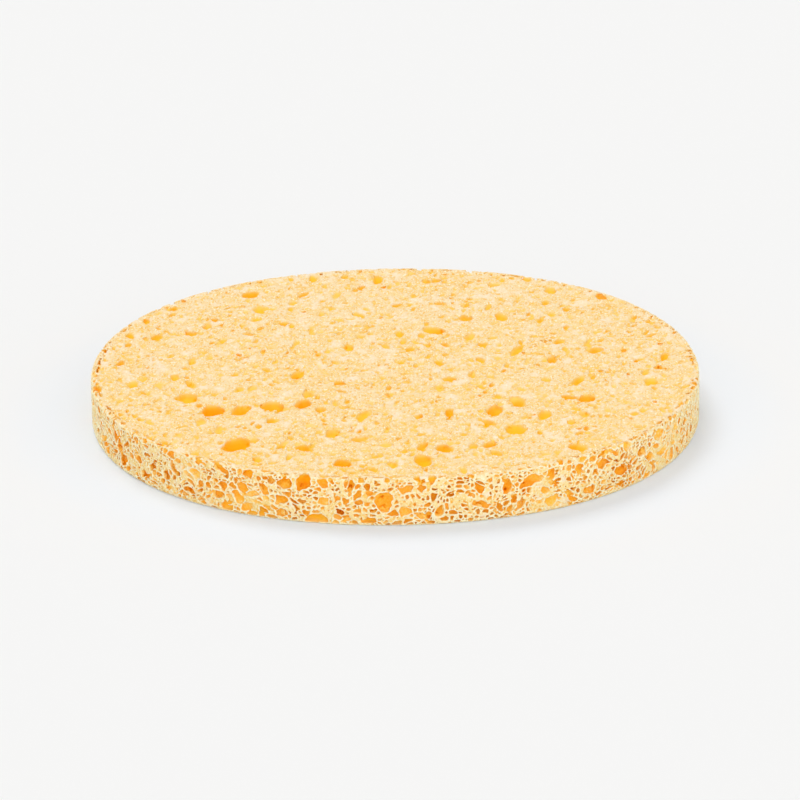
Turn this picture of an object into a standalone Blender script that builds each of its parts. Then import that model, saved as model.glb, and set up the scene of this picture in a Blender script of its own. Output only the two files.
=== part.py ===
"""Cellulose facial sponge: one disc die-cut from a sheet of open-pored cellulose, all in one piece.

Run with  blender --background --python part.py  or from Blender's text editor.
Metres, +Z up, origin at the centre of the underside, which lies on the table.
Angles run anticlockwise seen from above: 270 degrees is the front, 0 the right-hand side.
"""

import math

import bmesh
import bpy
import numpy as np
from mathutils import Euler, Matrix, Vector, noise

MM = 0.001

# The disc, as the die cuts it out of the sheet
DISC_DIAMETER = 76.0 * MM
DISC_THICKNESS = 6.1 * MM
EDGE_ROUNDING = 0.45 * MM
EDGE_STEPS = 2
OUTLINE_SIDES = 96

# How the soft disc is out of round: a little oval, and a little square
OVAL_BULGE = 0.29 * MM
OVAL_TURN = math.radians(-14)
SQUARE_BULGE = 0.30 * MM
SQUARE_TURN = math.radians(46)

# The pores, which salt crystals leave behind when they are washed out of the block of cellulose
PORE_WALL = 0.35 * MM
PORE_SINK = 0.30
PORE_RAGGEDNESS = 0.35
FINE_PORE_FROM = 3.1 * MM
FACE_PORE_WIDTHS = (1.0 * MM, 2.0 * MM)
RIM_PORE_WIDTHS = (0.95 * MM, 1.9 * MM)
UPPER_PORES = 68
UNDER_PORES = 64
RIM_PORES = 124
TRIES_PER_PORE = 60
SEED = 7

# The sheet is drawn out from front to back as it is cast, and its pores with it
GRAIN_TURN = math.radians(90)
GRAIN_SPREAD = math.radians(25)
FACE_PORE_STRETCH = (1.2, 1.9)
RIM_PORE_STRETCH = (1.0, 1.6)

# The middle of each face has no pore, so that the sponge rests and stacks on flat material there
REST_SPOT_RADIUS = 2.5 * MM

# Pores that stand out in the upper face: the place as hundredths of the disc's radius, to the right
# and to the back, the length and width in millimetres, and the length's turn from the right-hand
# direction in degrees
UPPER_PORES_SEEN = (
    (-59, -36, 3.9, 2.7, 95),
    (-50, -35, 3.2, 1.7, 65),
    (-40, -33, 3.5, 2.8, 70),
    (-23, -36, 2.1, 1.5, 105),
    (-11, -43, 2.4, 1.0, 90),
    (-56, -52, 1.9, 1.0, 85),
    (-51, -66, 4.7, 2.8, 72),
    (-20, -57, 2.8, 1.5, 95),
    (-29, -70, 2.5, 1.8, 105),
    (-11, -62, 2.1, 1.6, 80),
    (-43, -79, 2.0, 1.0, 80),
    (-16, -84, 2.8, 2.3, 100),
    (-86, -11, 2.7, 1.3, 80),
    (-72, -5, 2.3, 1.2, 95),
    (-67, -11, 3.0, 1.4, 105),
    (-50, -18, 2.0, 1.0, 85),
    (-32, -4, 2.8, 1.3, 90),
    (9, -82, 3.3, 1.9, 85),
    (9, -70, 2.6, 1.2, 60),
    (17, -73, 2.8, 2.2, 100),
    (30, -68, 2.6, 2.0, 100),
    (32, -76, 2.0, 1.2, 90),
    (30, -50, 2.6, 1.8, 110),
    (32, -39, 3.3, 1.8, 100),
    (39, -32, 3.7, 1.3, 85),
    (17, -41, 2.8, 1.0, 85),
    (14, -18, 2.3, 1.0, 95),
    (17, -10, 2.1, 1.6, 75),
    (25, -6, 2.7, 1.0, 90),
    (48, -43, 3.2, 1.3, 85),
    (61, -44, 2.9, 1.1, 95),
    (62, -29, 2.9, 2.3, 50),
    (59, -13, 2.9, 1.3, 90),
    (58, -72, 2.6, 2.0, 140),
    (84, -15, 2.2, 1.4, 80),
    (-79, 34, 2.2, 1.3, 80),
    (-63, 43, 2.2, 1.0, 95),
    (-67, 10, 2.5, 1.0, 90),
    (-45, 58, 2.5, 1.7, 70),
    (-49, 74, 3.0, 2.0, 95),
    (-15, 21, 2.2, 1.2, 90),
    (-6, 87, 2.6, 1.2, 90),
    (14, 86, 2.1, 1.2, 85),
    (26, 29, 2.6, 1.1, 90),
    (24, 48, 2.6, 1.6, 110),
    (36, 49, 2.6, 1.9, 80),
    (41, 16, 4.0, 1.0, 77),
    (52, 7, 2.4, 1.4, 90),
    (64, 22, 2.5, 1.0, 95),
    (51, 63, 2.2, 1.2, 85),
    (70, 66, 2.4, 1.6, 100),
)

# Pores that stand out in the cut side: the angle round the disc in degrees, the height as hundredths
# of the thickness, the length and width in millimetres, and how steeply the length rises in degrees
RIM_PORES_SEEN = (
    (195.3, 79, 2.0, 1.0, 170),
    (201.5, 67, 2.2, 1.2, 170),
    (198, 36, 1.6, 0.9, 0),
    (209, 27, 3.0, 1.9, 35),
    (214, 43, 1.4, 1.2, 0),
    (217, 66, 2.1, 0.9, 5),
    (223, 42, 2.1, 1.5, 30),
    (225.5, 63, 1.5, 1.0, 95),
    (229.2, 28, 1.7, 0.9, 0),
    (230, 66, 1.7, 1.0, 5),
    (236, 50, 1.4, 1.1, 150),
    (237, 11, 1.8, 0.9, 0),
    (242, 88, 1.7, 1.3, 0),
    (241, 54, 1.9, 1.5, 150),
    (241, 16, 1.6, 0.9, 175),
    (245, 60, 1.9, 1.3, 140),
    (249, 82, 1.9, 1.1, 20),
    (248, 50, 1.6, 1.1, 15),
    (252.7, 80, 2.6, 1.9, 30),
    (260, 32, 1.5, 1.0, 0),
    (255, 12, 2.7, 1.5, 0),
    (268, 54, 2.5, 1.9, 55),
    (274, 25, 1.3, 0.9, 0),
    (274.5, 75, 1.4, 0.9, 10),
    (285, 71, 1.4, 0.9, 10),
    (285.7, 42, 2.2, 1.0, 175),
    (290, 70, 1.9, 1.6, 80),
    (294.8, 67, 2.7, 1.6, 15),
    (293.5, 27, 2.0, 1.3, 10),
    (299, 80, 1.7, 1.0, 25),
    (286, 17, 2.1, 1.0, 0),
    (307, 34, 1.9, 1.2, 10),
    (315.3, 52, 2.7, 1.4, 10),
    (314, 20, 2.0, 0.9, 5),
    (320.5, 66, 1.9, 1.2, 10),
    (326.5, 84, 1.9, 1.1, 150),
    (327.5, 43, 2.5, 1.0, 165),
    (333, 68, 1.5, 0.9, 170),
    (338, 65, 1.7, 0.9, 165),
    (343, 33, 1.6, 1.1, 0),
)

DISC_RADIUS = DISC_DIAMETER / 2
UP = Vector((0, 0, 1))
SHARP_FROM = math.radians(35)
SPONGE_CREAM = (0.93, 0.69, 0.36, 1.0)
PORE_AMBER = (0.86, 0.43, 0.08, 1.0)


def clear_scene():
    for item in list(bpy.data.objects):
        bpy.data.objects.remove(item)


def sponge_material(name, colour):
    material = bpy.data.materials.new(name)
    material.use_nodes = True
    shader = material.node_tree.nodes["Principled BSDF"]
    shader.inputs["Base Color"].default_value = colour
    shader.inputs["Roughness"].default_value = 0.9
    shader.inputs["Metallic"].default_value = 0.0
    material.diffuse_color = colour
    return material


def outline_radius(angle):
    oval = OVAL_BULGE * math.cos(2 * (angle - OVAL_TURN))
    square = SQUARE_BULGE * math.cos(4 * (angle - SQUARE_TURN))
    return DISC_RADIUS + oval + square


def make_disc():
    """The disc before its pores are cut: the outline drawn up from the underside, edges rounded."""
    mesh = bpy.data.meshes.new("sponge_disc")
    sketch = bmesh.new()
    corners = []
    for step in range(OUTLINE_SIDES):
        angle = math.tau * step / OUTLINE_SIDES
        radius = outline_radius(angle)
        corners.append(sketch.verts.new((radius * math.cos(angle), radius * math.sin(angle), 0)))
    underside = sketch.faces.new(corners)
    drawn_up = bmesh.ops.extrude_face_region(sketch, geom=[underside])
    upper_corners = [item for item in drawn_up["geom"] if isinstance(item, bmesh.types.BMVert)]
    bmesh.ops.translate(sketch, verts=upper_corners, vec=DISC_THICKNESS * UP)
    bmesh.ops.recalc_face_normals(sketch, faces=sketch.faces)
    sketch.to_mesh(mesh)
    sketch.free()
    disc = bpy.data.objects.new("sponge_disc", mesh)
    bpy.context.scene.collection.objects.link(disc)
    disc.data.materials.append(sponge_material("sponge_cream", SPONGE_CREAM))
    edge = disc.modifiers.new("rounded_edges", "BEVEL")
    edge.width = EDGE_ROUNDING
    edge.segments = EDGE_STEPS
    edge.limit_method = "ANGLE"
    edge.angle_limit = math.radians(60)
    return disc


class Pore:
    """An egg-shaped hole that opens in a face: its middle, its directions and its half widths."""

    def __init__(self, mouth, along, outward, length, width):
        self.middle = mouth - PORE_SINK * width / 2 * outward
        across = outward.cross(along).normalized()
        self.directions = Matrix((along, across, outward)).transposed()
        self.half = Vector((length, width, width)) / 2
        self.reach = (length + width) / 4

    def clear_of(self, other):
        return (self.middle - other.middle).length > self.reach + other.reach + PORE_WALL

    def clear_of_rest_spots(self):
        return self.middle.xy.length > self.reach + REST_SPOT_RADIUS


def face_pore(x, y, length, width, turn, outward):
    """A pore in the upper face, or in the underside if outward points down."""
    along = Vector((math.cos(turn), math.sin(turn), 0))
    height = DISC_THICKNESS if outward.z > 0 else 0
    return Pore(Vector((x, y, height)), along, outward, length, width)


def rim_pore(angle, height, length, width, rise):
    """A pore in the cut side."""
    outward = Vector((math.cos(angle), math.sin(angle), 0))
    round_the_disc = UP.cross(outward)
    along = math.cos(rise) * round_the_disc + math.sin(rise) * UP
    return Pore(outline_radius(angle) * outward + height * UP, along, outward, length, width)


def pores_seen():
    for right, back, length, width, turn in UPPER_PORES_SEEN:
        x, y = right / 100 * DISC_RADIUS, back / 100 * DISC_RADIUS
        yield "upper", face_pore(x, y, length * MM, width * MM, math.radians(turn), UP)
    for angle, height, length, width, rise in RIM_PORES_SEEN:
        z = height / 100 * DISC_THICKNESS
        yield "rim", rim_pore(math.radians(angle), z, length * MM, width * MM, math.radians(rise))


def chance_pore(chance, surface):
    """One more pore in that surface, at a chance place and with a chance size."""
    angle = chance.uniform(0, math.tau)
    if surface == "rim":
        width = chance_width(chance, RIM_PORE_WIDTHS)
        length = width * chance.uniform(*RIM_PORE_STRETCH)
        height = chance.uniform(0.1, 0.9) * DISC_THICKNESS
        return rim_pore(angle, height, length, width, chance.uniform(0, math.pi / 4))
    width = chance_width(chance, FACE_PORE_WIDTHS)
    length = width * chance.uniform(*FACE_PORE_STRETCH)
    distance = (DISC_RADIUS - EDGE_ROUNDING - length) * math.sqrt(chance.random())
    x, y = distance * math.cos(angle), distance * math.sin(angle)
    turn = GRAIN_TURN + chance.uniform(-GRAIN_SPREAD, GRAIN_SPREAD)
    return face_pore(x, y, length, width, turn, UP if surface == "upper" else -UP)


def chance_width(chance, widths):
    """A width between the two, more often near the least."""
    least, most = widths
    return least + (most - least) * chance.random() ** 2


def scatter_pores():
    """All the pores, each a wall's width clear of the others, those that stand out coming first."""
    pores = []

    def add(pore):
        fits = pore.clear_of_rest_spots() and all(pore.clear_of(other) for other in pores)
        if fits:
            pores.append(pore)
        return fits

    wanted = {"upper": UPPER_PORES, "under": UNDER_PORES, "rim": RIM_PORES}
    for surface, pore in pores_seen():
        wanted[surface] -= add(pore)
    chance = np.random.default_rng(SEED)
    for surface, count in wanted.items():
        for _ in range(TRIES_PER_PORE * count):
            if count > 0:
                count -= add(chance_pore(chance, surface))
    return pores


def add_pore_shape(sketch, pore, chance):
    """One crystal-like lump in the shape of a pore, its corners pushed in and out a little."""
    fineness = 2 if pore.half.x * 2 > FINE_PORE_FROM else 1
    facing = Euler(chance.uniform(0, math.tau, 3)).to_matrix()
    place = Matrix.Translation(pore.middle) @ pore.directions.to_4x4()
    lump = bmesh.ops.create_icosphere(sketch, subdivisions=fineness, radius=1)
    for corner in lump["verts"]:
        push = 1 + PORE_RAGGEDNESS * noise.noise(corner.co + pore.middle / MM)
        corner.co = place @ (push * pore.half * (facing @ corner.co))


def make_pore_cutter(pores):
    mesh = bpy.data.meshes.new("pore_cutter")
    sketch = bmesh.new()
    chance = np.random.default_rng(SEED)
    for pore in pores:
        add_pore_shape(sketch, pore, chance)
    sketch.to_mesh(mesh)
    sketch.free()
    mesh.materials.append(sponge_material("pore_amber", PORE_AMBER))
    cutter = bpy.data.objects.new("pore_cutter", mesh)
    bpy.context.scene.collection.objects.link(cutter)
    cutter.display_type = "WIRE"
    cutter.hide_render = True
    return cutter


def cut_pores(disc, cutter):
    cut = disc.modifiers.new("pores", "BOOLEAN")
    cut.operation = "DIFFERENCE"
    cut.solver = "EXACT"
    cut.material_mode = "TRANSFER"
    cut.object = cutter
    finished = disc.evaluated_get(bpy.context.evaluated_depsgraph_get())
    disc.data = bpy.data.meshes.new_from_object(finished)
    disc.modifiers.clear()
    disc.data.name = "sponge_disc"
    disc.data.shade_smooth()
    disc.data.set_sharp_from_angle(angle=SHARP_FROM)


def main():
    clear_scene()
    disc = make_disc()
    cutter = make_pore_cutter(scatter_pores())
    cut_pores(disc, cutter)


main()
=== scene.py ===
"""Looks of a cellulose facial sponge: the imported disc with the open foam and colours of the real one."""
import math

import bpy
import numpy as np
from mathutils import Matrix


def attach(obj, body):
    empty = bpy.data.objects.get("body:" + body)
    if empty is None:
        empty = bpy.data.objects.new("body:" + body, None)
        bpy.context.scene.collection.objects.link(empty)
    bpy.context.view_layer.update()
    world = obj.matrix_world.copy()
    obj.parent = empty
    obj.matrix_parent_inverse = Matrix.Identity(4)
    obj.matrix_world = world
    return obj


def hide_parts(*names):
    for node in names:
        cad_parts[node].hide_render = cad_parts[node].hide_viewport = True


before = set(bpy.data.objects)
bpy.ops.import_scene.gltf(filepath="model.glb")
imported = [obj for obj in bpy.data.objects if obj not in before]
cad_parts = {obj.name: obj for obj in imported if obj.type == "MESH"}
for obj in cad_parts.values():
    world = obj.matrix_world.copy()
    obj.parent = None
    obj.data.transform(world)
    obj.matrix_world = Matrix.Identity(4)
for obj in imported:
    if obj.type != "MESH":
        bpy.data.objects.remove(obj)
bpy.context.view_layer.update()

import openvdb
from mathutils import Euler, Matrix, Vector

# The sponge is one disc of cellulose, cast round crystals of salt that were then washed out, and cut
# from a flat sheet with a round die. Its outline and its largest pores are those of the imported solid,
# and the foam round them is made here as one closed surface. Lengths are in millimetres.
MM = 0.001
RADIUS = 38
EDGE_ROUNDING = 0.45
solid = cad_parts["sponge_disc"].data
corners = np.empty(len(solid.vertices) * 3, np.float32)
solid.vertices.foreach_get("co", corners)
edges = np.empty(len(solid.edges) * 2, np.int32)
solid.edges.foreach_get("vertices", edges)
corners, joined = np.unique(np.round(corners.reshape(-1, 3) / MM, 4), axis=0, return_inverse=True)
edges = joined.ravel()[edges].reshape(-1, 2)
THICKNESS = corners[:, 2].max()


def waves(angle):
    """The parts that the outline is summed from: a circle, two lobes and four, one column each."""
    lobed = [wave(count * angle) for count in (2, 4) for wave in (np.cos, np.sin)]
    return np.stack([np.ones_like(angle), *lobed], -1)


def from_face(z):
    """How far a point lies inside the nearer of the two faces."""
    return THICKNESS / 2 - np.abs(z - THICKNESS / 2)


# The outline is fitted to the corners of the wall. A corner that lies further in is in a pore.
NEAR_WALL = 0.97
FIT_ERROR = 0.02
radius = np.hypot(corners[:, 0], corners[:, 1])
angle = np.arctan2(corners[:, 1], corners[:, 0])
on_wall = (radius > NEAR_WALL * radius.max()) & (from_face(corners[:, 2]) > EDGE_ROUNDING - 0.01)
for _ in range(3):
    fitted = np.linalg.lstsq(waves(angle[on_wall]), radius[on_wall], rcond=None)[0]
    on_wall &= radius > waves(angle) @ fitted - FIT_ERROR


def outline(angle):
    return waves(angle) @ fitted


def from_wall(x, y):
    """How far a point lies inside the outline."""
    return outline(np.arctan2(y, x)) - np.hypot(x, y)


def below_surface(x, y, z):
    """How deep a point lies under the surface that the die and the blade cut."""
    inward, inset = from_wall(x, y), from_face(z)
    into_corner = np.hypot(np.maximum(EDGE_ROUNDING - inward, 0), np.maximum(EDGE_ROUNDING - inset, 0))
    nearer = np.minimum(inward, inset)
    return np.where(nearer < EDGE_ROUNDING, EDGE_ROUNDING - into_corner, nearer)


# The foam is worked out on a grid of points. Each cell is an egg-shaped hollow, a crystal's print. Where
# two cells meet, a thin web of cellulose stays between them, torn open in places.
STEP = 0.11
REACH = 39.2
low = np.array([-REACH, -REACH, -3 * STEP])
shape = np.ceil((np.array([REACH, REACH, THICKNESS + 3 * STEP]) - low) / STEP).astype(int) + 1
lines = [start + STEP * np.arange(count) for start, count in zip(low, shape)]
SPLINE_GAIN = 2.5


def smooth_noise(size, seed):
    """Soft random hills and hollows of that width over the whole grid, about 1 high."""
    weights = []
    for line in lines:
        at = (line - line[0]) / size + 1
        away = np.abs(at[:, None] - np.arange(int(at[-1]) + 3))
        inner, outer = 2 / 3 - away**2 + away**3 / 2, np.maximum(2 - away, 0) ** 3 / 6
        weights.append(np.where(away < 1, inner, outer).astype(np.float32))
    chances = np.random.default_rng(seed)
    hills = chances.standard_normal([weight.shape[1] for weight in weights]).astype(np.float32)
    for weight in weights:
        hills = np.tensordot(hills, weight, (0, 1))
    return hills * SPLINE_GAIN


# No cell is a smooth egg: its walls wander by these heights and widths, but less so near the faces,
# where the wandering would open slits in the cut surface.
WANDERING = ((0.22, 2.2, 0), (0.12, 1.0, 9), (0.07, 0.45, 19))
CALM_BELOW_FACE = 1.2
warp = [
    sum(height * smooth_noise(width, axis + seed) for height, width, seed in WANDERING)
    for axis in (1, 2, 3)
]
warp[2] *= np.clip(from_face(lines[2]) / CALM_BELOW_FACE, 0.2, 1).astype(np.float32)

# For each point the grid keeps the distances to the nearest cell and to the second, and whose it is. Each
# cell has a tone, from pale to dark, and may have a floor that keeps it shut towards the underside.
FAR = 2.0
nearest = np.full(shape, FAR, np.float32)
second = np.full(shape, FAR, np.float32)
owner = np.zeros(shape, np.int32)
tones = [0.5]
floored = [False]
chance = np.random.default_rng(11)


def hollow_out(lobes, axes, reach, has_floor, tone=None):
    """Lays one cell into the grid. A lobe is its middle and its three half sizes along the axes."""
    spans = [(middle, np.sqrt(((axes.T * half) ** 2).sum(1)) + reach) for middle, half in lobes]
    first = np.maximum(np.ceil((np.min([m - s for m, s in spans], 0) - low) / STEP).astype(int), 0)
    last = np.minimum(np.floor((np.max([m + s for m, s in spans], 0) - low) / STEP).astype(int) + 1, shape)
    block = tuple(slice(a, b) for a, b in zip(first, last))
    distance = np.float32(FAR)
    for middle, half in lobes:
        away = []
        for i in range(3):
            along = (lines[i][block[i]] - middle[i]).astype(np.float32)
            away.append(along.reshape([-1 if i == j else 1 for j in range(3)]) + warp[i][block])
        turned = (axes / half[:, None]).astype(np.float32)
        along_axes = [row[0] * away[0] + row[1] * away[1] + row[2] * away[2] for row in turned]
        scaled = np.sqrt(sum(part**2 for part in along_axes)) + 1e-6
        span = np.sqrt(away[0] ** 2 + away[1] ** 2 + away[2] ** 2)
        distance = np.minimum(distance, span - span / scaled)
    was = nearest[block]
    owner[block][distance < was] = len(tones)
    second[block] = np.minimum(second[block], np.maximum(was, distance))
    nearest[block] = np.minimum(was, distance)
    tones.append(chance.random() if tone is None else tone)
    floored.append(has_floor)


def linked_groups(count, pairs):
    """A number for each item, the same for all items that the pairs link."""
    group = np.arange(count)
    while True:
        before = group.copy()
        lower = np.minimum(group[pairs[:, 0]], group[pairs[:, 1]])
        np.minimum.at(group, pairs[:, 0], lower)
        np.minimum.at(group, pairs[:, 1], lower)
        group = group[group]
        if (group == before).all():
            return group


def facing(outward, along):
    """The three directions of a cell: its length, its width and out of the surface."""
    return np.array([along, np.cross(outward, along), outward])


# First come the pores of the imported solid, each as one large lobe and four small ones round it. In the
# side some are darker (1) or paler (0) than the rest, at this angle, in degrees, and this height.
SIDE_TONES_SEEN = (
    (252.7, 5.1, 0.75), (259.7, 1.85, 1.0), (285.1, 4.2, 0.9), (299.0, 4.95, 0.9),
    (298.8, 3.3, 0.9), (310.3, 0.95, 0.95), (219.7, 3.1, 0.9), (209.5, 1.6, 0.0),
    (222.0, 2.4, 0.0), (294.0, 1.6, 0.0), (343.0, 2.0, 0.0),
)
SAME_PORE = 0.9
SUNK_BY = 0.3
UP = np.array([0.0, 0.0, 1.0])
WIDTHS_IN_SIDE, WIDTHS_IN_FACE = (0.92, 0.92, 1.0), (1.06, 1.06, 1.0)
sunk = below_surface(*corners.T) > 0.1
group = linked_groups(len(corners), edges[sunk[edges].all(1)])
for number in np.unique(group[sunk]):
    in_pore = sunk & (group == number)
    touching = edges[in_pore[edges].any(1)]
    mouth = corners[np.unique(touching[~sunk[touching]])]
    if len(mouth) < 4:
        continue
    middle = mouth.mean(0)
    turn = math.atan2(middle[1], middle[0])
    out_of_wall = np.array([math.cos(turn), math.sin(turn), 0.0])
    in_side = from_wall(middle[0], middle[1]) < from_face(middle[2])
    outward = out_of_wall if in_side else UP * np.sign(middle[2] - THICKNESS / 2)
    level = np.cross(UP, outward) if in_side else np.array([1.0, 0.0, 0.0])
    across = (mouth - middle) @ np.array([level, np.cross(outward, level)]).T
    long_way = np.linalg.eigh(across.T @ across)[1][:, 1]
    axes = facing(outward, long_way[0] * level + long_way[1] * np.cross(outward, level))
    half_deep = ((middle - corners[in_pore]) @ outward).max() / (1 + SUNK_BY)
    half = np.append(np.abs((mouth - middle) @ axes[:2].T).max(0), half_deep)
    heart = middle - SUNK_BY * half_deep * outward
    lobes = [(heart, half * (WIDTHS_IN_SIDE if in_side else WIDTHS_IN_FACE))]
    for spoke in chance.uniform(0, math.tau) + math.tau / 4 * np.arange(4):
        spoke += chance.uniform(-0.4, 0.4)
        beside = np.array([math.cos(spoke), math.sin(spoke), -0.2]) * half * chance.uniform(0.45, 0.65)
        lobes.append((heart + beside @ axes, half * chance.uniform(0.42, 0.62)))
    tone = chance.uniform(0.2, 0.85) if in_side else chance.uniform(0.1, 0.6)
    for seen_angle, seen_height, seen_tone in SIDE_TONES_SEEN:
        along_wall = math.radians((math.degrees(turn) - seen_angle + 180) % 360 - 180) * outline(turn)
        if in_side and math.hypot(along_wall, middle[2] - seen_height) < SAME_PORE:
            tone = seen_tone
    hollow_out(lobes, axes, reach=0.7, has_floor=in_side, tone=tone)
packed_pores = len(tones)


def read_at(values, places):
    """The grid's value at each place, between its eight grid points."""
    index = (places - low) / STEP
    base = np.clip(np.floor(index).astype(int), 0, shape - 2)
    part = index - base
    total = 0
    for offset in np.ndindex(2, 2, 2):
        share = np.prod(np.where(offset, part, 1 - part), axis=1)
        total = total + share * values[tuple((base + offset).T)]
    return total.astype(np.float32)


# Then come finer cells, from the largest down. The sheet was drawn out from front to back and pressed
# flat as it was cast, so that is how all of them lie, with each a little askew. The form of those in the
# side is length, height and depth, and of those in the faces width, length and depth.
FORM_IN_SIDE = np.array([1.32, 0.72, 1.00])
FORM_IN_FACE = np.array([0.78, 1.45, 0.70])
WEB_ROOM = 0.1


def scattered(spacing, form, heights):
    """Places at random round the points of a lattice that has layers at those heights."""
    right_and_back = [np.arange(-RADIUS - 0.5, RADIUS + 0.5, spacing * stretch) for stretch in form[:2]]
    places = np.stack(np.meshgrid(*right_and_back, heights, indexing="ij"), -1).reshape(-1, 3)
    return places + chance.uniform(-0.4, 0.4, places.shape) * spacing * form


def chance_cell(place, half, reach, has_floor, axes=np.eye(3), tone=None):
    """A cell of about that size, lying about that way."""
    askew = np.array(Euler(chance.normal(0, 0.3, 3)).to_matrix()).T
    hollow_out([(place, half * chance.uniform(0.75, 1.3, 3))], askew @ axes, reach, has_floor, tone)


def fill_side(spacing, share, sizes, room, depths, darkest):
    """Cells that open in the cut side, where there is room."""
    apart = spacing * FORM_IN_SIDE[0] / RADIUS
    rise = FORM_IN_SIDE[1] * spacing
    turns, rows = np.meshgrid(np.arange(0, math.tau, apart), np.arange(0.3 * spacing, THICKNESS, rise))
    turns, rows = turns.ravel(), rows.ravel()
    turns = turns + chance.uniform(-0.45, 0.45, len(turns)) * spacing * FORM_IN_SIDE[0] / RADIUS
    rows = rows + chance.uniform(-0.45, 0.45, len(rows)) * spacing * FORM_IN_SIDE[1]
    size = sizes[0] + (sizes[1] - sizes[0]) * chance.random(len(turns)) ** 2
    inward = chance.uniform(*depths, len(turns)) * size
    out = np.stack([np.cos(turns), np.sin(turns), np.zeros(len(turns))], -1)
    places = out * (outline(turns) - inward)[:, None] + UP * rows[:, None]
    clear = read_at(nearest, places)
    taken = (clear > room * size) & (chance.random(len(places)) < share)
    size = np.minimum(size, clear + WEB_ROOM)
    for place, half, outward in zip(places[taken], size[taken], out[taken]):
        axes = facing(outward, np.cross(UP, outward))
        tone = chance.uniform(0.0, darkest)
        chance_cell(place, half * FORM_IN_SIDE, reach=0.62, has_floor=True, axes=axes, tone=tone)


def roughen_pores(spacing, share, size, shown_to):
    """Small cells that open in the walls of the pores, as far down as an eye looks into them."""
    places = scattered(spacing, (1, 1, 1), np.arange(0.3, THICKNESS, spacing))
    inward = from_wall(places[:, 0], places[:, 1])
    shown = (from_face(places[:, 2]) < shown_to[0]) | (inward < shown_to[1])
    in_wall = shown & (inward > 0.3) & (np.abs(read_at(nearest, places)) < 0.10)
    for place in places[in_wall & (chance.random(len(places)) < share)]:
        chance_cell(place, np.full(3, size), reach=0.3, has_floor=True, tone=0.9)


def fill_face(height, from_edge, spacing, share, sizes, room, sunk_by):
    """Pores in a face, where there is room, more of them towards the front."""
    places = scattered(spacing, FORM_IN_FACE, [0.0])
    size = sizes[0] + (sizes[1] - sizes[0]) * chance.random(len(places)) ** 1.5
    lift = FORM_IN_FACE[2] * size * chance.uniform(*sunk_by, len(places))
    places[:, 2] = height + np.sign(THICKNESS / 2 - height) * lift
    share = share * (1 - 0.35 * places[:, 1] / RADIUS)
    inside = from_wall(places[:, 0], places[:, 1]) > from_edge
    taken = inside & (chance.random(len(places)) < share) & (read_at(nearest, places) > room * size)
    for place, half in zip(places[taken], size[taken]):
        chance_cell(place, half * FORM_IN_FACE, reach=0.3, has_floor=False, tone=chance.uniform(0.2, 0.9))


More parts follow.
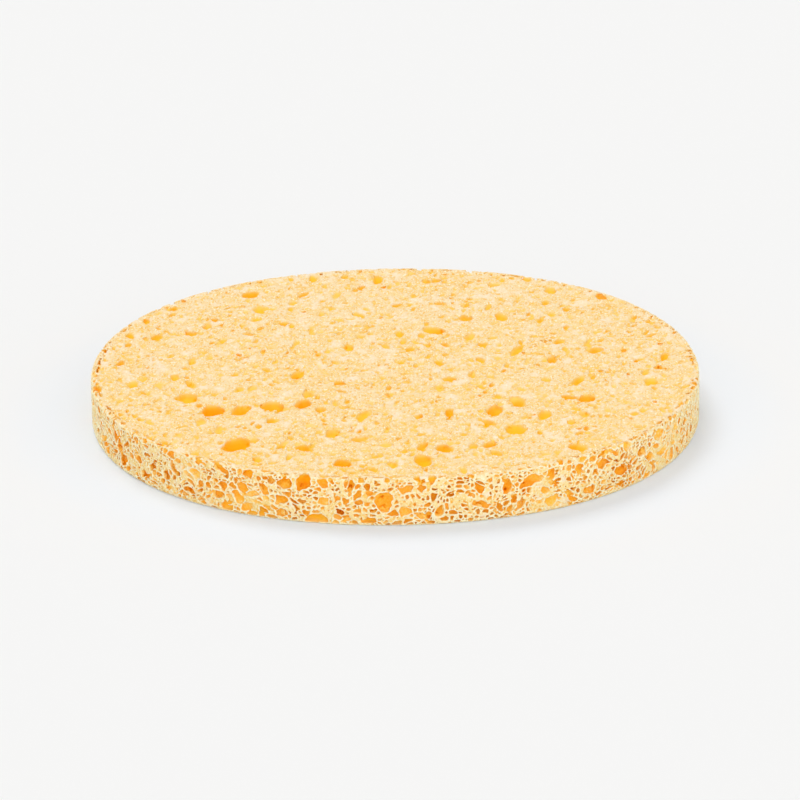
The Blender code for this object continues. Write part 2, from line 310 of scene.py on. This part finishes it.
# Smaller pores that stand out in the upper face: right, back, width, length and how dark they are.
SMALL_PORES_SEEN = (
    (-13.6, -13.5, 1.5, 2.0, 0.0), (-13.4, -24.5, 1.2, 1.2, 0.0), (-5.9, -32.0, 1.2, 1.6, 0.0),
    (-10.5, -19.2, 1.0, 1.5, 0.0), (-12.1, -1.5, 1.2, 1.8, 0.0), (6.5, -3.8, 1.2, 1.8, 0.0),
    (-18.5, 28.0, 1.2, 2.0, 0.0), (13.5, 18.5, 1.2, 2.0, 0.0), (17.8, -29.6, 1.2, 1.4, 0.0),
    (-17.1, -18.2, 0.6, 1.6, 0.9), (3.5, -31.3, 0.8, 1.4, 0.9), (14.5, -20.0, 0.5, 1.0, 0.9),
    (18.3, -36.0, 1.4, 2.6, 0.8), (22.3, -33.6, 0.7, 1.2, 0.9), (-13.6, 6.4, 0.5, 1.2, 0.9),
    (-15.0, -31.3, 0.7, 1.5, 0.5), (-2.7, -34.0, 1.0, 1.5, 0.5), (-0.9, -32.3, 0.8, 1.2, 0.5),
    (-2.2, -29.3, 0.8, 1.5, 0.5), (-2.3, -18.5, 0.5, 1.0, 0.6), (-27.7, -21.7, 0.6, 1.5, 0.5),
    (-26.7, -12.9, 0.8, 1.0, 0.5), (-32.6, -13.3, 0.5, 1.2, 0.5), (-31.2, -2.1, 0.7, 1.5, 0.5),
    (-22.0, -4.0, 0.5, 1.6, 0.5), (-17.5, -6.3, 1.0, 2.0, 0.4), (-9.7, -9.2, 0.6, 1.6, 0.6),
    (-1.0, -6.7, 0.9, 1.6, 0.5), (9.2, -26.5, 1.1, 2.0, 0.5), (21.3, -10.5, 2.0, 1.6, 0.4),
    (24.3, -3.8, 0.9, 1.6, 0.5), (18.5, -4.5, 1.2, 2.0, 0.5), (32.8, -1.1, 0.9, 1.8, 0.5),
    (9.0, -7.4, 0.5, 1.2, 0.6), (11.8, -6.0, 0.8, 1.8, 0.5), (17.4, -22.6, 0.8, 1.5, 0.6),
    (21.7, -19.2, 0.9, 1.6, 0.5), (23.3, -22.7, 0.6, 1.6, 0.5), (0.1, -23.7, 0.8, 1.4, 0.5),
    (3.2, -22.4, 1.0, 1.4, 0.5), (19.3, -32.4, 0.8, 1.4, 0.6), (16.5, -34.8, 1.0, 1.6, 0.5),
    (8.0, -35.0, 0.8, 2.4, 0.5), (8.9, -36.6, 1.2, 1.2, 0.5), (4.3, -37.0, 1.0, 1.2, 0.6),
    (1.1, 9.9, 0.9, 1.8, 0.5), (4.4, 8.5, 0.8, 2.2, 0.5), (3.7, 12.0, 0.8, 1.8, 0.4),
    (6.1, 18.8, 0.7, 1.4, 0.5), (11.0, 2.8, 1.2, 1.8, 0.5), (2.5, 1.2, 0.7, 1.8, 0.5),
    (-4.3, 30.5, 1.2, 2.5, 0.5), (-7.4, 27.1, 1.0, 2.4, 0.5), (-11.8, 27.6, 0.8, 2.4, 0.5),
    (-13.3, 24.8, 1.0, 2.0, 0.4), (-9.5, 20.5, 0.8, 1.6, 0.5), (-28.4, 23.0, 1.2, 1.8, 0.5),
    (-25.8, 13.8, 1.0, 2.0, 0.5), (-18.5, 13.6, 0.9, 1.6, 0.5), (-10.4, 14.2, 0.8, 1.6, 0.5),
    (-12.6, 9.6, 0.9, 2.0, 0.5), (-8.4, 4.5, 0.5, 1.6, 0.6), (-7.2, 2.6, 0.8, 1.4, 0.5),
    (-34.4, 3.3, 0.8, 1.8, 0.5), (-33.3, 10.0, 0.9, 1.6, 0.5), (22.3, 20.7, 0.8, 2.0, 0.5),
    (12.3, 22.0, 1.0, 2.6, 0.5), (18.6, 17.0, 0.9, 2.4, 0.5), (21.4, 6.5, 1.2, 1.6, 0.5),
    (29.0, 0.8, 0.6, 1.4, 0.5), (30.6, 2.0, 0.7, 1.6, 0.5), (34.6, 8.4, 0.6, 1.6, 0.5),
)
for right_of, back_of, width, length, tone in SMALL_PORES_SEEN:
    half = np.array([width / 2, length / 2, 0.35 * width + 0.2 * tone])
    turned = np.array(Euler((0, 0, chance.normal(0, 0.2))).to_matrix()).T
    place = np.array([right_of, back_of, THICKNESS - 0.25 * half[2]])
    hollow_out([(place, half)], turned, reach=0.3, has_floor=False, tone=tone)


def round_the_edge(apart, give):
    """Angles round the disc, with the direction out of its wall at each."""
    for turn in np.arange(0, math.tau, apart / RADIUS):
        turn += chance.uniform(-give, give)
        yield turn, np.array([math.cos(turn), math.sin(turn), 0.0])


# The die opened the cells along the upper edge lengthwise.
for turn, out_of_wall in round_the_edge(apart=1.3, give=0.01):
    inward = chance.uniform(0.05, 0.9)
    lowered = 0.05 + 0.3 * max(0.4 - inward, 0)
    place = out_of_wall * (outline(turn) - inward) + UP * (THICKNESS - lowered)
    half = np.array([chance.uniform(0.35, 0.85), chance.uniform(0.18, 0.30), chance.uniform(0.20, 0.30)])
    if chance.random() < 0.6:
        along_edge = facing(UP, np.cross(UP, out_of_wall))
        hollow_out([(place, half)], along_edge, reach=0.3, has_floor=False, tone=chance.uniform(0.0, 0.5))

# Along the lower edge the die has opened low cells. Their dark tones are painted shade, for the shade under
# the disc.
for turn, out_of_wall in round_the_edge(apart=2.0, give=0.02):
    place = out_of_wall * (outline(turn) - 0.15) + UP * 0.30
    half = np.array([chance.uniform(0.25, 0.80), chance.uniform(0.14, 0.22), 0.40])
    if chance.random() < 0.5:
        along_edge = facing(out_of_wall, np.cross(UP, out_of_wall))
        hollow_out([(place, half)], along_edge, reach=0.3, has_floor=True, tone=chance.uniform(0.7, 1.0))

fill_side(spacing=1.8, share=0.35, sizes=(0.40, 0.65), room=0.75, depths=(0.1, 0.5), darkest=0.85)
fill_side(spacing=0.95, share=0.95, sizes=(0.22, 0.42), room=0.55, depths=(0.0, 0.5), darkest=0.96)
fill_side(spacing=0.48, share=1.00, sizes=(0.11, 0.22), room=0.40, depths=(0.0, 0.7), darkest=0.6)
roughen_pores(spacing=0.55, share=0.5, size=0.16, shown_to=(1.2, 1.6))
for face, edge, large in ((0.0, 1.6, 0.50), (THICKNESS, 0.5, 0.20)):
    fill_face(face, edge, spacing=2.2, share=large, sizes=(0.45, 0.80), room=0.8, sunk_by=(-0.6, 0.4))
    fill_face(face, edge, spacing=1.1, share=0.75, sizes=(0.24, 0.46), room=0.5, sunk_by=(-0.5, 0.4))
    fill_face(face, edge, spacing=0.50, share=0.80, sizes=(0.12, 0.24), room=0.4, sunk_by=(-0.4, 0.4))

# The foam is open along the side, where the cells have grown until only webs stand between them, thin
# ones torn. Towards the faces and the core it stays as it was laid. A skin stays along the underside.
OPEN_TO, CLOSED_OVER = 1.1, 0.5
GROWTH = 0.36
WEB = 0.13
SKIN = 0.15
SKIN_TO = 2.4
x, y, z = np.meshgrid(*lines, indexing="ij", sparse=True)
side = np.clip((OPEN_TO - from_wall(x, y)) / CLOSED_OVER, 0, 1)
closed_by = 0.12 + 0.07 * smooth_noise(1.1, 8)
grown = side * np.clip((from_face(z) - closed_by) / 0.22, 0, 1) * (GROWTH + 0.08 * smooth_noise(2.2, 4))
torn = np.maximum(smooth_noise(0.5, 6) - 1.1, 0) * np.clip((z - 0.6) / 0.3, 0, 1)
web = WEB + 0.03 * smooth_noise(0.8, 5) - 0.6 * torn
hollow = np.minimum(grown - nearest + 0.03 * smooth_noise(0.4, 7), second - nearest - web + 2 * (1 - side))
has_floor = np.array(floored)[owner] | (from_wall(x, y) < SKIN_TO) & (owner < packed_pores)
hollow = np.minimum(hollow, np.where(has_floor, z - SKIN, 9))

# The die and the blade left soft lips round the pores, widest round the large ones in the faces.
outside = -below_surface(x, y, z)
lip = np.where(owner < packed_pores, 0.50, 0.22).astype(np.float32) * (1 - 0.6 * side)
field = np.maximum(outside, hollow) + np.maximum(lip - np.abs(outside - hollow), 0) ** 2 / (4 * lip)
field = field.astype(np.float32)
FLAT_ENOUGH = 0.3
volume = openvdb.FloatGrid(2 * STEP)
volume.copyFromArray(np.clip(field, -2 * STEP, 2 * STEP))
volume.gridClass = openvdb.GridClass.LEVEL_SET
volume.transform = openvdb.createLinearTransform(STEP)
points, triangles, quads = volume.convertToPolygons(0.0, FLAT_ENOUGH)
points = points + low

# What hangs free in the foam would be washed out of the real one, so only the largest piece stays.
sides = np.concatenate([quads[:, :2], quads[:, 1:3], quads[:, 2:], triangles[:, :2], triangles[:, 1:]])
group = linked_groups(len(points), sides.astype(np.int64))
kept = group == np.bincount(group).argmax()
renumbered = np.cumsum(kept) - 1
quads = renumbered[quads[kept[quads[:, 0]]]]
triangles = renumbered[triangles[kept[triangles[:, 0]]]] if len(triangles) else triangles
points = points[kept]


def blurred(values, steps):
    """The mean over a small box round each grid point."""
    for axis in range(3):
        padding = [(steps + 1, steps) if i == axis else (0, 0) for i in range(3)]
        summed = np.cumsum(np.pad(values, padding, "edge"), axis, dtype=np.float64)
        count = values.shape[axis]
        upper = summed.take(range(2 * steps + 1, 2 * steps + 1 + count), axis)
        values = ((upper - summed.take(range(count), axis)) / (2 * steps + 1)).astype(np.float32)
    return values


# The material reads four layers: the depth under the cut surface, how much cellulose there is round the
# point, whether it belongs to the side (1) or to a face (0), and its cell's tone.
BULK_ROUND = 0.25
SIDE_FADE = 0.6
bulk = blurred(np.clip(0.5 - field / STEP, 0, 1), max(1, round(BULK_ROUND / STEP)))
nearer_side = from_face(points[:, 2]) - from_wall(points[:, 0], points[:, 1])
layers = {
    "depth": below_surface(*points.T),
    "bulk": read_at(bulk, points),
    "sideways": np.clip(0.5 + nearer_side / SIDE_FADE, 0, 1),
    "tone": np.array(tones)[owner[tuple(np.rint((points - low) / STEP).astype(int).T)]],
}
mesh = bpy.data.meshes.new("sponge_foam")
mesh.vertices.add(len(points))
mesh.vertices.foreach_set("co", (points * MM).astype(np.float32).ravel())
mesh.loops.add(quads.size + triangles.size)
mesh.loops.foreach_set("vertex_index", np.concatenate([quads.ravel(), triangles.ravel()]).astype(np.int32))
starts = np.concatenate([np.arange(0, quads.size, 4), quads.size + np.arange(0, triangles.size, 3)])
mesh.polygons.add(len(starts))
mesh.polygons.foreach_set("loop_start", starts.astype(np.int32))
mesh.update(calc_edges=True)
mesh.shade_smooth()
for name, values in layers.items():
    mesh.attributes.new(name, "FLOAT", "POINT").data.foreach_set("value", values.astype(np.float32))
sponge = bpy.data.objects.new("sponge_foam", mesh)
bpy.context.scene.collection.objects.link(sponge)
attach(sponge, "root")
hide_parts("sponge_disc")


def rgb(red, green, blue):
    """A colour as it shows on a screen, 0 to 255, turned into light."""
    light = [c / 3294.6 if c <= 10 else ((c / 255 + 0.055) / 1.055) ** 2.4 for c in (red, green, blue)]
    return (*light, 1.0)


class Wire:
    """A socket of a material's nodes, on which arithmetic adds nodes."""

    def __init__(self, tree, socket=None):
        self.tree, self.socket = tree, socket

    def add(self, kind, result, settings=None, **inputs):
        """A new node: its settings are set first, then the values or links of its sockets."""
        node = self.tree.nodes.new(kind)
        for name, value in (settings or {}).items():
            if name == "stops":
                elements = node.color_ramp.elements
                for _ in value[2:]:
                    elements.new(0.5)
                for element, (at, shade) in zip(elements, value):
                    element.position, element.color = at, shade
            else:
                setattr(node, name, value)
        for name, value in inputs.items():
            plug = node.inputs[int(name[1:]) if name[1:].isdigit() else name.replace("_", " ")]
            if isinstance(value, Wire):
                self.tree.links.new(value.socket, plug)
            else:
                plug.default_value = value
        return Wire(self.tree, node.outputs[result])

    def maths(self, operation, first, second):
        return self.add("ShaderNodeMath", "Value", {"operation": operation}, _0=first, _1=second)

    def __add__(self, other):
        return self.maths("ADD", self, other)

    def __sub__(self, other):
        return self.maths("SUBTRACT", self, other)

    def __rsub__(self, other):
        return self.maths("SUBTRACT", other, self)

    def __mul__(self, other):
        return self.maths("MULTIPLY", self, other)

    __radd__ = __add__
    __rmul__ = __mul__

    def ramp(self, start, end):
        """0 before start and 1 after end, with a soft turn at both."""
        soft = {"interpolation_type": "SMOOTHSTEP"}
        return self.add("ShaderNodeMapRange", "Result", soft, Value=self, From_Min=start, From_Max=end)

    def mix(self, before, after):
        """From one colour to the other as this value goes from 0 to 1."""
        return self.add("ShaderNodeMix", 2, {"data_type": "RGBA"}, _0=self, _6=before, _7=after)

    def feed(self, plug):
        self.tree.links.new(self.socket, plug)


# The cellulose is cream where a blade cut it and amber inside, where the light has gone through more
# of it, with fine pores that show as specks. Everything fine is drawn out from front to back.
cellulose = bpy.data.materials.new("cellulose")
cellulose.use_nodes = True
shader = cellulose.node_tree.nodes["Principled BSDF"]
foam = Wire(cellulose.node_tree)
place = foam.add("ShaderNodeTexCoord", "Object")
depth, bulk_here, sideways, tone = (
    foam.add("ShaderNodeAttribute", "Fac", {"attribute_name": name}) for name in layers
)
LONGEST = 2.4
GRAIN = (1, 0.55, 1)


def noise(scale, shift, detail=2.0):
    moved = foam.add("ShaderNodeMapping", "Vector", Vector=place, Location=(shift, 0, shift), Scale=GRAIN)
    return foam.add("ShaderNodeTexNoise", "Fac", Vector=moved, Scale=scale, Detail=detail)


def spots(scale, shift, size, share):
    """Specks of that size, in the parts of the surface where a soft noise is above a level."""
    moved = foam.add("ShaderNodeMapping", "Vector", Vector=place, Location=(shift, shift, 0), Scale=GRAIN)
    distance = foam.add("ShaderNodeTexVoronoi", "Distance", Vector=moved, Scale=scale)
    level = 0.62 - share * 0.4
    return distance.ramp(size, size * 0.45) * noise(scale * 0.35, shift + 3, 1.0).ramp(level, level + 0.10)


def ramp_colour(value, *stops):
    return foam.add("ShaderNodeValToRGB", "Color", {"stops": stops}, Fac=value)


def through_cellulose(travelled, *stops):
    """The colour that light has when it has gone that far through the foam, in millimetres."""
    return ramp_colour(travelled * (1 / LONGEST), *((at / LONGEST, rgb(*shade)) for at, shade in stops))


dark = tone.ramp(0.80, 1.0)
grain = noise(900, 3) - 0.5
in_face = through_cellulose(
    depth * (tone * 0.9 + 0.55) + grain * 0.05,
    (0.00, (251, 228, 187)), (0.08, (250, 221, 160)), (0.20, (249, 211, 118)), (0.45, (249, 197, 66)),
    (0.80, (250, 187, 36)), (1.30, (250, 178, 16)), (2.00, (246, 168, 8)),
)
crumb = (noise(3400, 51, 2.0) - 0.5) * depth.ramp(0.05, 0.30)
in_side = through_cellulose(
    depth * (tone * 1.15 + 0.32 + dark * 0.9) + crumb * 1.8,
    (0.00, (255, 229, 162)), (0.08, (255, 217, 134)), (0.25, (255, 208, 110)), (0.55, (254, 199, 82)),
    (1.00, (250, 186, 56)), (1.60, (243, 154, 28)), (2.40, (222, 110, 14)),
)
colour = sideways.mix(in_face, in_side)

# Over that come painted shade in the darkest cells, mostly low ones along the lower edge, a painted glow in
# cavities, golden patches, blotches and specks where the surface was cut, and the pale threads and webs
# between them, partly painted light, each where its mask lets it show.
# Painted shade: the darkest cells, mostly the low ones along the lower edge, turn deep orange for the shade
# under the disc; a few others are only of the darkest tone.
edge_shade_and_dark_tone = tone.ramp(0.93, 1.0) * depth.ramp(0.08, 0.40)
# Painted glow: cavities are tinted warmer and glow, for light that comes out of the foam inside them.
cavity = bulk_here.ramp(0.53, 0.78) * (1 - depth.ramp(0.3, 0.8))
shallow = depth.ramp(0.30, 0.05)
upwards = shallow * (1 - sideways)
gold_patch = noise(620, 71, 1.5).ramp(0.48, 0.66)
blotch = noise(1250, 41, 1.5).ramp(0.57, 0.72)
mottle = noise(700, 21, 1.0).ramp(0.35, 0.65)
speck = noise(5200, 0, 3.0).ramp(0.45, 0.62)
# Pale threads: partly pale fibres, partly painted highlights of the fine relief.
pale_thread_and_glint = noise(4100, 8, 3.0).ramp(0.53, 0.68)
pale_patch = noise(760, 31, 1.5).ramp(0.52, 0.72)
web_patch = noise(1700, 61, 1.0).ramp(0.35, 0.55)
# Painted light: thin webs at the cut surface are painted nearly white, for light that shines through thin
# cellulose.
thin_web_light = bulk_here.ramp(0.45, 0.27) * depth.ramp(0.20, 0.04) * (web_patch * 0.45 + 0.55)
for mask, shade in (
    (edge_shade_and_dark_tone * 0.65, (216, 92, 18)),
    (cavity * 0.55, (250, 190, 84)),
    (gold_patch * upwards * 0.45, (250, 212, 132)),
    (blotch * upwards * 0.55, (247, 202, 108)),
    (speck * shallow * (mottle * 0.4 + 0.25), (249, 196, 98)),
    (spots(2300, 5, 0.40, 0.7) * shallow * 0.65, (244, 184, 70)),
    (pale_thread_and_glint * shallow * 0.95, (255, 248, 220)),
    (pale_patch * shallow * 0.60, (255, 240, 216)),
    (thin_web_light * (sideways * 0.85 + 0.15), (255, 250, 214)),
):
    colour = mask.mix(colour, rgb(*shade))
colour.feed(shader.inputs["Base Color"])

# Light that gets into the foam comes out again inside the pores, so these glow a little.
glow = ramp_colour(
    depth * 0.8, (0.0, rgb(0, 0, 0)), (0.12, rgb(54, 34, 0)), (0.35, rgb(112, 80, 0)), (1.0, rgb(140, 94, 0))
)
glow = (cavity * 0.5).mix(glow, rgb(140, 84, 16))
glow = (sideways * (dark * 0.35 + 0.32)).mix(glow, rgb(0, 0, 0))
glow.feed(shader.inputs["Emission Color"])
shader.inputs["Emission Strength"].default_value = 0.6
(noise(3000, 12, 3.0) * 0.2 + 0.75).feed(shader.inputs["Roughness"])
bump = foam.add("ShaderNodeBump", "Normal", Strength=0.5, Distance=0.00006, Height=noise(6500, 15, 2.0))
bump.feed(shader.inputs["Normal"])
shader.inputs["Specular IOR Level"].default_value = 0.1
mesh.materials.append(cellulose)

# The ground is a plain pale sheet and belongs to the stage. It shows a little of its own paleness besides
# the light on it, as the photograph's background does, and it is slightly cooler next to the sponge,
# against the warm light that the foam throws there.
SHEET = rgb(244, 245, 246)
SHEET_BY_SPONGE = rgb(235, 244, 255)
bpy.ops.mesh.primitive_plane_add(size=8)
ground = bpy.context.object
ground.name = "ground"
pale_ground = bpy.data.materials.new("pale_ground")
pale_ground.use_nodes = True
nodes = pale_ground.node_tree.nodes
stage = Wire(pale_ground.node_tree)
on_sheet = stage.add("ShaderNodeTexCoord", "Object")
from_middle = stage.add("ShaderNodeVectorMath", "Value", {"operation": "LENGTH"}, _0=on_sheet)
sheet = nodes["Principled BSDF"]
from_middle.ramp(0.052, 0.037).mix(SHEET, SHEET_BY_SPONGE).feed(sheet.inputs["Base Color"])
sheet.inputs["Roughness"].default_value = 1.0
sheet.inputs["Specular IOR Level"].default_value = 0.0
seen, in_gloss, through_glass = (
    stage.add("ShaderNodeLightPath", f"Is {kind} Ray") for kind in ("Camera", "Glossy", "Transmission")
)
bare = stage.add("ShaderNodeEmission", "Emission", Color=SHEET, Strength=1.0)
share_bare = (seen + in_gloss + through_glass) * 0.28
lit = Wire(stage.tree, sheet.outputs["BSDF"])
mixed = stage.add("ShaderNodeMixShader", "Shader", _0=share_bare, _1=lit, _2=bare)
mixed.feed(nodes["Material Output"].inputs["Surface"])
ground.data.materials.append(pale_ground)

# The light is an even sky, a soft lamp behind the sponge from the upper left, and a very wide one low in
# front, which fills the side. Each lamp's softness is its width across the sky in degrees.
world = bpy.data.worlds.new("even_sky")
bpy.context.scene.world = world
world.use_nodes = True
world.node_tree.nodes["Background"].inputs["Color"].default_value = (0.995, 1.0, 1.01, 1)
world.node_tree.nodes["Background"].inputs["Strength"].default_value = 0.436
for name, energy, softness, shade, direction in (
    ("key_light", 1.25, 33, (1.0, 0.97, 0.92), (-0.32, 0.60, 1.0)),
    ("front_light", 2.14, 130, (1.0, 0.975, 0.935), (0.20, -1.0, 0.20)),
):
    lamp = bpy.data.objects.new(name, bpy.data.lights.new(name, "SUN"))
    lamp.data.energy = energy
    lamp.data.color = shade
    lamp.data.angle = math.radians(softness)
    lamp.rotation_euler = Vector(direction).to_track_quat("Z", "Y").to_euler()
    bpy.context.scene.collection.objects.link(lamp)

# The camera looks down on the disc from the front through a long lens, tipped by less than a degree. The
# disc's middle shows a little to the left of the picture's middle and above it, by these pixels.
ELEVATION = math.radians(20.92)
ROLL = math.radians(-0.838)
DISTANCE = 0.760
PIXELS_PER_MM = 8.0
PICTURE_WIDTH = 800
LEFT_OF_MIDDLE, ABOVE_MIDDLE = 4.83, 8.81
back = Vector((0, -math.cos(ELEVATION), math.sin(ELEVATION)))
right = Vector((1, 0, 0)) * math.cos(ROLL) + back.cross(Vector((1, 0, 0))) * math.sin(ROLL)
upward = back.cross(right)
camera = bpy.data.objects.new("camera", bpy.data.cameras.new("camera"))
camera.data.lens = PIXELS_PER_MM / MM * DISTANCE / PICTURE_WIDTH * camera.data.sensor_width
middle = Vector((0, 0, THICKNESS / 2 * MM))
aim = middle + (LEFT_OF_MIDDLE * right - ABOVE_MIDDLE * upward) / PIXELS_PER_MM * MM
turned = Matrix((right, upward, back)).transposed().to_4x4()
camera.matrix_world = Matrix.Translation(aim + DISTANCE * back) @ turned
bpy.context.scene.collection.objects.link(camera)
bpy.context.scene.camera = camera
bpy.context.scene.view_settings.view_transform = "Standard"
